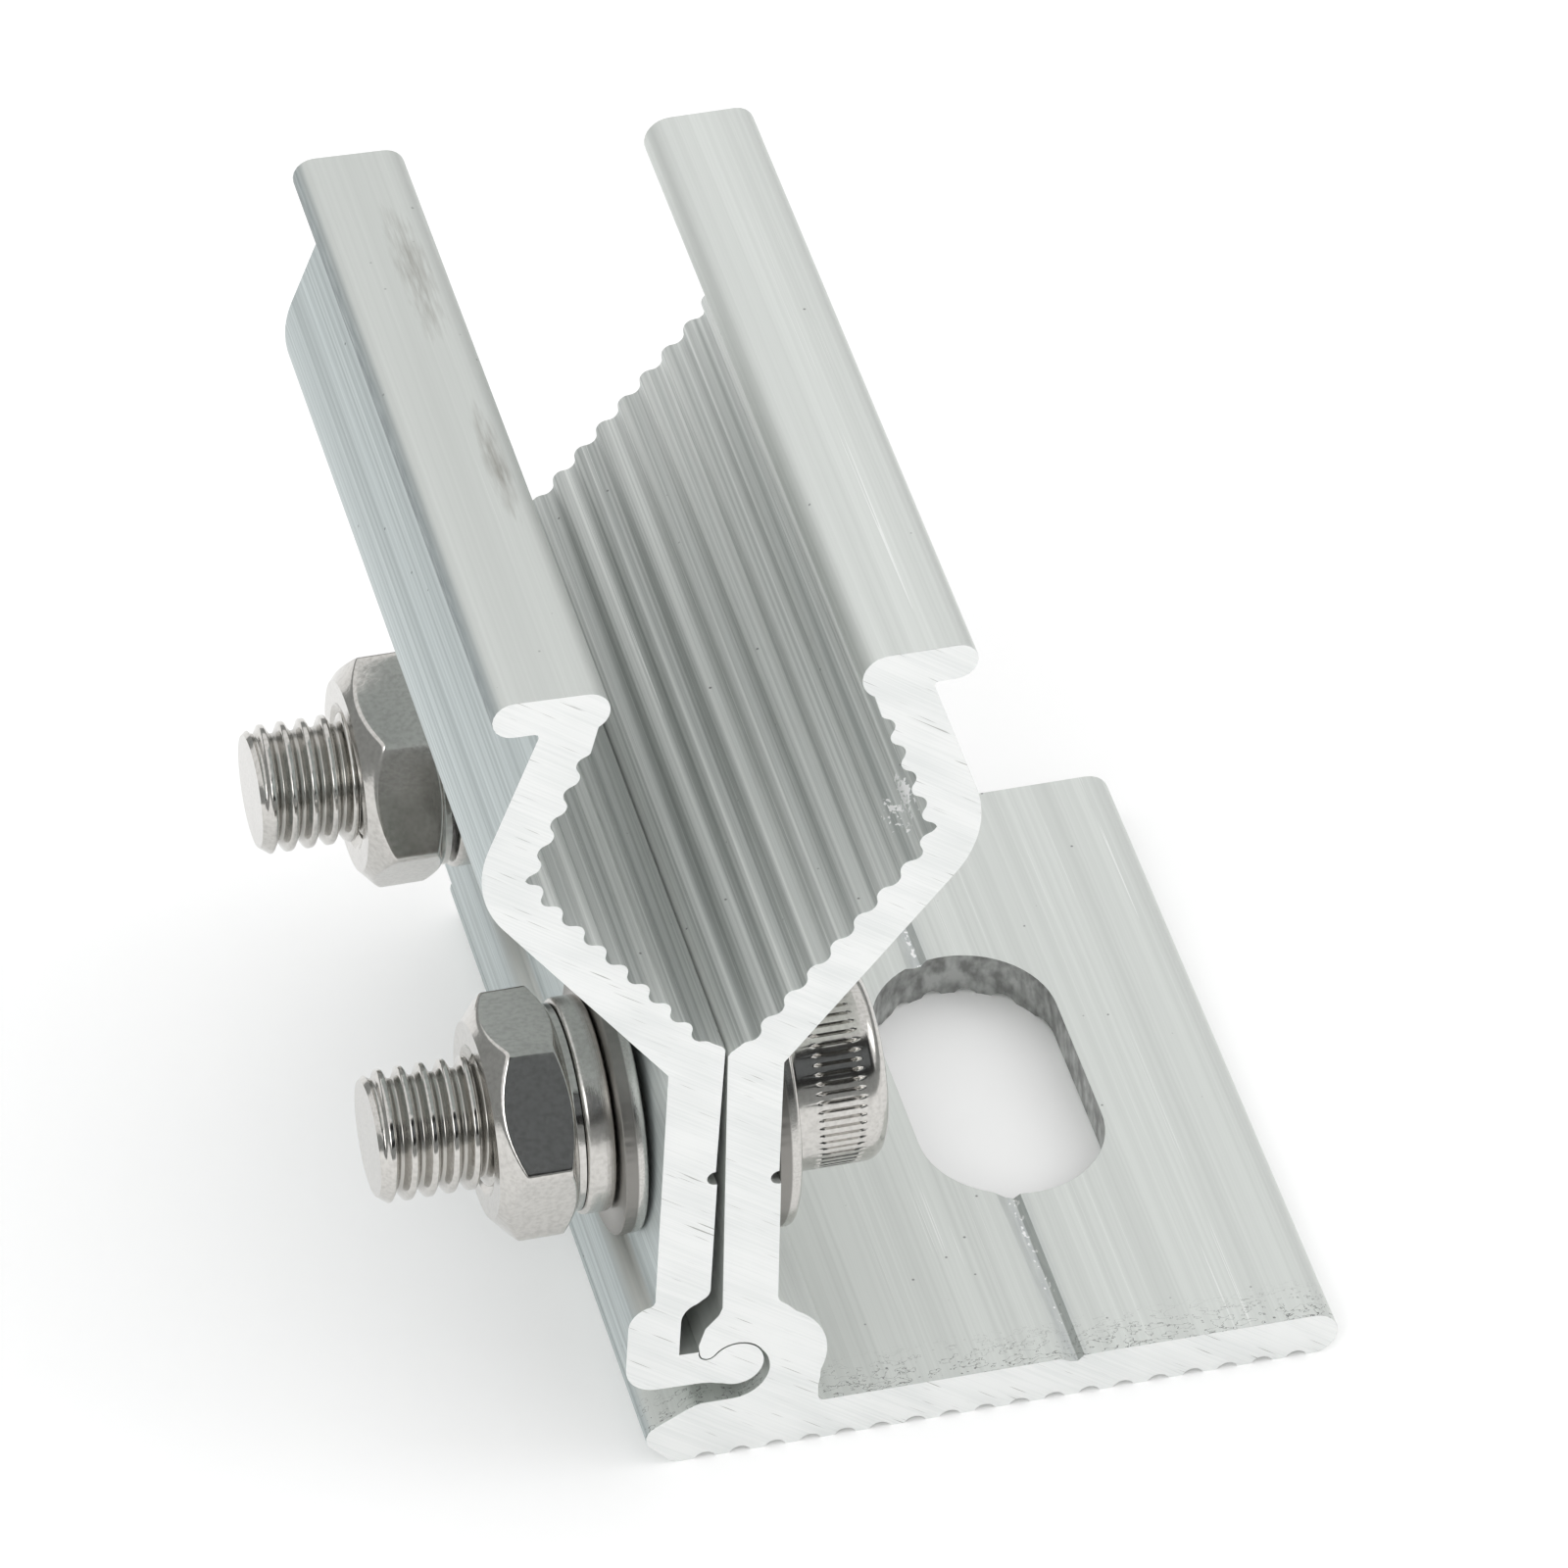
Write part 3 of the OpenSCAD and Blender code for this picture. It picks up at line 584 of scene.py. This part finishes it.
# Soft patches 4 mm wide where the blade rubbed less
patch = add(tree, "ShaderNodeMapping", [(0, place)], vector_type="TEXTURE", Rotation=lean,
            Scale=(0.006, 0.004, 0.002))
patch = add(tree, "ShaderNodeTexNoise", [("Vector", patch.outputs[0])], Scale=1.0, Detail=1.0)
mixed = add(tree, "ShaderNodeMix", [(2, patch.outputs[0]), (3, saw.outputs[0])], data_type="FLOAT")
mixed.inputs[0].default_value = 0.5
tone = add(tree, "ShaderNodeMapRange", [("Value", mixed.outputs[0])], From_Min=0.35, From_Max=0.6)
colour = add(tree, "ShaderNodeMix", [(0, tone.outputs[0])], data_type="RGBA")
colour.inputs[6].default_value = linear("#E9EBEA")
colour.inputs[7].default_value = linear("#F3F4F3")
# Deep scratches: dark strokes 0.1 mm wide and 3 mm long, where another noise peaks
deep = add(tree, "ShaderNodeMapping", [(0, place)], vector_type="TEXTURE", Rotation=lean,
           Scale=(0.0035, 0.0035, 0.00013))
deep = add(tree, "ShaderNodeTexNoise", [("Vector", deep.outputs[0])], Scale=1.0, Detail=1.0)
deep = add(tree, "ShaderNodeMapRange", [("Value", deep.outputs[0])], From_Min=0.7, From_Max=0.78)
scored = add(tree, "ShaderNodeMix", [(0, deep.outputs[0]), (6, colour.outputs[2])], data_type="RGBA")
scored.inputs[7].default_value = linear("#B4B4B1")
relief = add(tree, "ShaderNodeBump", [("Height", saw.outputs[0])], Strength=0.25, Distance=0.00002)
metal = add(tree, "ShaderNodeBsdfPrincipled",
            [("Base Color", scored.outputs[2]), ("Normal", relief.outputs[0])], Metallic=1.0, Roughness=0.6)
add(tree, "ShaderNodeOutputMaterial", [(0, metal.outputs[0])])
print(len(tree.nodes), "nodes in", sawn.name)

# %% [markdown]
# **Milled slot.** An end mill cut the long slot in the base. Its walls are darker and mottled, with
# upright feed marks from the cutter's flutes.

# %% Milled slot wall
milled, tree = new_material("end_milled_aluminium")
place = add(tree, "ShaderNodeTexCoord").outputs["Object"]
# Mottling 0.8 mm wide, as chips smeared on the wall
mottle = add(tree, "ShaderNodeMapping", [(0, place)], vector_type="TEXTURE", Scale=(0.0008, 0.0008, 0.0012))
mottle = add(tree, "ShaderNodeTexNoise", [("Vector", mottle.outputs[0])], Scale=1.0, Detail=3.0)
tone = add(tree, "ShaderNodeMapRange", [("Value", mottle.outputs[0])], From_Min=0.35, From_Max=0.65)
colour = add(tree, "ShaderNodeMix", [(0, tone.outputs[0])], data_type="RGBA")
colour.inputs[6].default_value = linear("#8A8B89")
colour.inputs[7].default_value = linear("#BEC0BE")
# Feed marks 0.15 mm apart and 2 mm tall, which scatter the light sideways
feed = add(tree, "ShaderNodeMapping", [(0, place)], vector_type="TEXTURE", Scale=(0.00015, 0.00015, 0.002))
feed = add(tree, "ShaderNodeTexNoise", [("Vector", feed.outputs[0])], Scale=1.0, Detail=1.0)
relief = add(tree, "ShaderNodeBump", [("Height", feed.outputs[0])], Strength=0.3, Distance=0.00002)
metal = add(tree, "ShaderNodeBsdfPrincipled",
            [("Base Color", colour.outputs[2]), ("Normal", relief.outputs[0])], Metallic=1.0,
            Roughness=0.45)
add(tree, "ShaderNodeOutputMaterial", [(0, metal.outputs[0])])
for piece in jaws.values():
    for finish in (*drawn, sawn, milled):
        piece.data.materials.append(finish)
print(len(tree.nodes), "nodes in", milled.name)

# %% [markdown]
# **Stainless steel.** All the fasteners are one metal, but each was made another way. The heads are
# cold-formed and the threads rolled, the washers stamped, the springs coiled and brushed, and the
# nuts forged and tumbled. Each finish is the same few nodes with other numbers.

# %% Five finishes of steel
STEEL_LIGHT, STEEL_DARK = "#CBC9C5", "#BBB9B5"
FINISHES = {
    # rings: mm along x, mm along r, depth; pits: mm, depth; roughness, and of dull parts; their colour,
    # which at thread roots and socket walls is painted shade
    "rolled": ("rolled_thread_steel", 0.05, 0.05, 0.10, 0.25, 0.05, 0.12, 0.28, "#AFADA8"),
    "turned": ("cold_formed_head_steel", 0.06, 0.10, 0.12, 0.25, 0.08, 0.16, 0.42, "#7C7A76"),
    "stamped": ("stamped_washer_steel", 0.10, 0.30, 0.10, 0.15, 0.25, 0.22, 0.4, "#8B8985"),
    "sprung": ("brushed_spring_steel", 0.05, 0.07, 0.40, 0.30, 0.08, 0.24, 0.3, "#8B8985"),
    "forged": ("tumbled_nut_steel", 0.20, 0.25, 0.05, 0.30, 0.22, 0.15, 0.3, "#8B8985"),
}
for finish, numbers in FINISHES.items():
    name, along, across, ring_depth, pit_size, pit_depth, roughness, dull_roughness, dull_and_shade_code = numbers
    steel, tree = new_material(name)
    place = add(tree, "ShaderNodeTexCoord").outputs["Object"]
    turned = add(tree, "ShaderNodeAttribute", attribute_name="turned").outputs["Vector"]
    dull_and_shade = add(tree, "ShaderNodeSeparateXYZ", [(0, turned)]).outputs[2]
    # Rings round the axis: lathe, press or brush marks, seen as fine lines round each part
    flat = add(tree, "ShaderNodeMapping", [(0, turned)], vector_type="TEXTURE",
               Scale=(along * MM, across * MM, 1000))
    rings = add(tree, "ShaderNodeTexNoise", [("Vector", flat.outputs[0])], Scale=1.0, Detail=1.0)
    # Pits all over: the grain of the forged or tumbled skin, seen as a fine speckle
    grain = add(tree, "ShaderNodeMapping", [(0, place)], vector_type="TEXTURE", Scale=[pit_size * MM] * 3)
    pits = add(tree, "ShaderNodeTexNoise", [("Vector", grain.outputs[0])], Scale=1.0, Detail=2.0)
    tone = add(tree, "ShaderNodeMapRange", [("Value", pits.outputs[0])], From_Min=0.3, From_Max=0.6)
    colour = add(tree, "ShaderNodeMix", [(0, tone.outputs[0])], data_type="RGBA")
    colour.inputs[6].default_value = linear(STEEL_DARK)
    colour.inputs[7].default_value = linear(STEEL_LIGHT)
    # Dull parts are darker and rougher; at the thread roots and on the socket walls the darker colour is
    # painted shade
    rough = add(tree, "ShaderNodeMapRange", [("Value", dull_and_shade)], To_Min=roughness, To_Max=dull_roughness)
    dull_and_shade_colour = add(tree, "ShaderNodeMix", [(0, dull_and_shade), (6, colour.outputs[2])], data_type="RGBA")
    dull_and_shade_colour.inputs[7].default_value = linear(dull_and_shade_code)
    ring_bump = add(tree, "ShaderNodeBump", [("Height", rings.outputs[0])], Strength=ring_depth,
                    Distance=0.00002)
    pit_bump = add(tree, "ShaderNodeBump", [("Height", pits.outputs[0]), ("Normal", ring_bump.outputs[0])],
                   Strength=pit_depth, Distance=0.00002)
    # Waves 2 mm across, from forging and handling, make the mirrored edges swim a little
    swell = add(tree, "ShaderNodeMapping", [(0, place)], vector_type="TEXTURE", Scale=[2 * MM] * 3)
    swell = add(tree, "ShaderNodeTexNoise", [("Vector", swell.outputs[0])], Scale=1.0, Detail=0.0)
    wave_bump = add(tree, "ShaderNodeBump", [("Height", swell.outputs[0]), ("Normal", pit_bump.outputs[0])],
                    Strength=0.3, Distance=0.0001)
    metal = add(tree, "ShaderNodeBsdfPrincipled",
                [("Base Color", dull_and_shade_colour.outputs[2]), ("Roughness", rough.outputs[0]),
                 ("Normal", wave_bump.outputs[0])], Metallic=1.0)
    add(tree, "ShaderNodeOutputMaterial", [(0, metal.outputs[0])])
    for piece in fasteners[finish]:
        piece.data.materials.append(steel)
    print(name, "on", len(fasteners[finish]), "pieces")

# %% [markdown]
# ## The studio
# A white floor, a white sky, and two soft lamps. Polished steel only reads as steel when it has
# something dark to mirror, so a grey wall stands far round the clamp, and a black card with a grey
# middle hangs where faces turned to the camera would mirror it. Only reflections see these.

# %% Floor and room


def stage_mesh(name, points, faces, code):
    """A mesh of the studio in one flat colour."""
    mesh = bpy.data.meshes.new(name)
    mesh.from_pydata(points, [], faces)
    made = bpy.data.objects.new(name, mesh)
    bpy.context.scene.collection.objects.link(made)
    material, tree = new_material(name + "_paint")
    surface = add(tree, "ShaderNodeBsdfDiffuse", Color=linear(code))
    add(tree, "ShaderNodeOutputMaterial", [(0, surface.outputs[0])])
    mesh.materials.append(material)
    return made


def rectangle(width, height):
    """Corners of a rectangle that lies flat about the origin."""
    return [(x * width / 2, y * height / 2, 0) for x, y in ((-1, -1), (1, -1), (1, 1), (-1, 1))]


def mirrored_card(name, middle, width, height, code):
    """A card that faces the clamp and is seen in reflections only."""
    card = stage_mesh(name, rectangle(width, height), [(0, 1, 2, 3)], code)
    card.location = middle
    card.rotation_euler = (Vector((0, 0, 0.03)) - Vector(middle)).to_track_quat("Z", "Y").to_euler()
    return only_mirrored(card)


def only_mirrored(made):
    """Leaves a piece of the studio to reflections alone."""
    made.visible_camera = made.visible_diffuse = made.visible_shadow = made.visible_transmission = False
    return made


stage_mesh("studio_floor", rectangle(6, 6), [(0, 1, 2, 3)], "#FFFFFF")
mirrored_card("black_card", (0.3, -1.09, 1.02), 1.5, 1.2, "#262626")
mirrored_card("grey_card", (0.29, -1.05, 0.98), 0.6, 0.5, "#6E7173")
WALL_R, WALL_HIGH, WALL_SIDES = 1.8, 0.7, 48
around = np.arange(WALL_SIDES) * TAU / WALL_SIDES
ring = WALL_R * np.stack([np.cos(around), np.sin(around)], -1)
wall = [(x, y, z) for z in (0.0, WALL_HIGH) for x, y in ring.tolist()]
quads = [(k, (k + 1) % WALL_SIDES, WALL_SIDES + (k + 1) % WALL_SIDES, WALL_SIDES + k)
         for k in range(WALL_SIDES)]
only_mirrored(stage_mesh("grey_wall", wall, quads, "#9A9C9B"))

world = bpy.data.worlds.new("white_sky")
bpy.context.scene.world = world
world.use_nodes = True
tree = world.node_tree
tree.nodes.clear()
sky = add(tree, "ShaderNodeBackground", Color=(1, 1, 1, 1), Strength=1.0)
add(tree, "ShaderNodeOutputWorld", [(0, sky.outputs[0])])


# %% Lamps


def lamp(name, place, size, power):
    """A square soft box that looks at the clamp's middle."""
    data = bpy.data.lights.new(name, "AREA")
    data.size = size
    data.energy = power
    made = bpy.data.objects.new(name, data)
    made.location = place
    made.rotation_euler = (Vector((0, 0, 0.03)) - Vector(place)).to_track_quat("-Z", "Y").to_euler()
    bpy.context.scene.collection.objects.link(made)
    return made


lamp("front_left_box", (-0.5, -0.7, 0.7), 0.5, 2.2)
lamp("right_box", (0.8, -0.2, 0.6), 0.4, 0.8)

# %% [markdown]
# The camera stands where the photograph was taken from: 0.64 m away, about 41 degrees up and 16
# degrees to the left of the front, with a long lens.

# %% Camera
AZIMUTH, ELEVATION, ROLL = np.radians([-15.6026, 41.34, 1.4497])
FOCAL_PX, IMAGE_PX, SENSOR = 11102.49, 1600, 36.0
SHIFT_ACROSS, SHIFT_UP, DISTANCE = -3.6104, -39.5456, 642.384
MEASURED_FROM = np.array([0.2, -25.0, 0.0])

right = np.array([np.cos(AZIMUTH), np.sin(AZIMUTH), 0])
level = np.array([np.sin(AZIMUTH), -np.cos(AZIMUTH), 0])
back = level * np.cos(ELEVATION) + np.array([0, 0, np.sin(ELEVATION)])
rolled = np.array([[np.cos(ROLL), np.sin(ROLL), 0], [-np.sin(ROLL), np.cos(ROLL), 0], [0, 0, 1]])
axes = rolled @ np.stack([right, np.cross(back, right), back])
stand = MEASURED_FROM - axes.T @ np.array([SHIFT_ACROSS, SHIFT_UP, -DISTANCE])
camera = bpy.data.objects.new("camera", bpy.data.cameras.new("camera"))
camera.data.sensor_width = SENSOR
camera.data.lens = FOCAL_PX / IMAGE_PX * SENSOR
camera.data.clip_start, camera.data.clip_end = 0.01, 20
placed = Matrix.Identity(4)
for row in range(3):
    for column in range(3):
        placed[row][column] = axes[column][row]
    placed[row][3] = stand[row] * MM
camera.matrix_world = placed
bpy.context.scene.collection.objects.link(camera)
bpy.context.scene.camera = camera
bpy.context.scene.view_settings.view_transform = "Standard"
print("camera at", stand.round(1), "mm")
